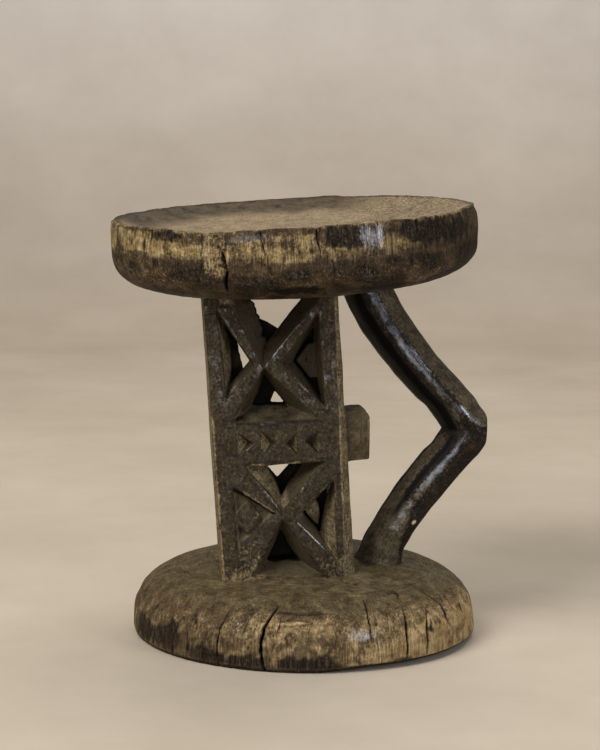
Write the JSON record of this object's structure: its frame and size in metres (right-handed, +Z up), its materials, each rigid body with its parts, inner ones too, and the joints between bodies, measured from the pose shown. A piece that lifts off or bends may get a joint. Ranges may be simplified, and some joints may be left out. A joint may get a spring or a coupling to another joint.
{
  "type": "carved wooden stool",
  "caption": "Low carved stool: round dished seat and round domed base, held apart by an openwork column of crossed braces and a leg bent at the knee.",
  "frame": {"origin": "centre of the base's flat underside, on the floor", "axes": "+Z up, +X towards the knee of the bent leg, -Y towards the carved front of the column"},
  "size_m": [0.2655, 0.2568, 0.3077],
  "materials": {
    "seat_wood": "hand-worn dark hardwood, satin",
    "base_wood": "weathered brown hardwood, matt",
    "column_wood": "smoked dark hardwood, worn edges",
    "leg_wood": "near-black polished hardwood"
  },
  "bodies": {
    "root": {"base": "base_wood", "front_left_post": "column_wood", "front_lower_bottom_left_brace": "column_wood", "front_lower_bottom_right_brace": "column_wood", "front_lower_top_left_brace": "column_wood", "front_lower_top_right_brace": "column_wood", "front_middle_band": "column_wood", "front_right_post": "column_wood", "front_sill": "column_wood", "front_upper_bottom_left_brace": "column_wood", "front_upper_bottom_right_brace": "column_wood", "front_upper_top_left_brace": "column_wood", "front_upper_top_right_brace": "column_wood", "left_middle_band": "column_wood", "leg_shin": "leg_wood", "leg_thigh": "leg_wood", "lower_left_boss": "column_wood", "rear_left_post": "column_wood", "rear_lower_bottom_left_brace": "column_wood", "rear_lower_bottom_right_brace": "column_wood", "rear_lower_top_left_brace": "column_wood", "rear_lower_top_right_brace": "column_wood", "rear_middle_band": "column_wood", "rear_right_post": "column_wood", "rear_sill": "column_wood", "rear_upper_bottom_left_brace": "column_wood", "rear_upper_bottom_right_brace": "column_wood", "rear_upper_top_left_brace": "column_wood", "rear_upper_top_right_brace": "column_wood", "right_middle_band": "column_wood", "seat": "seat_wood", "side_lug": "column_wood", "upper_right_web": "column_wood"}
  },
  "joints": []
}
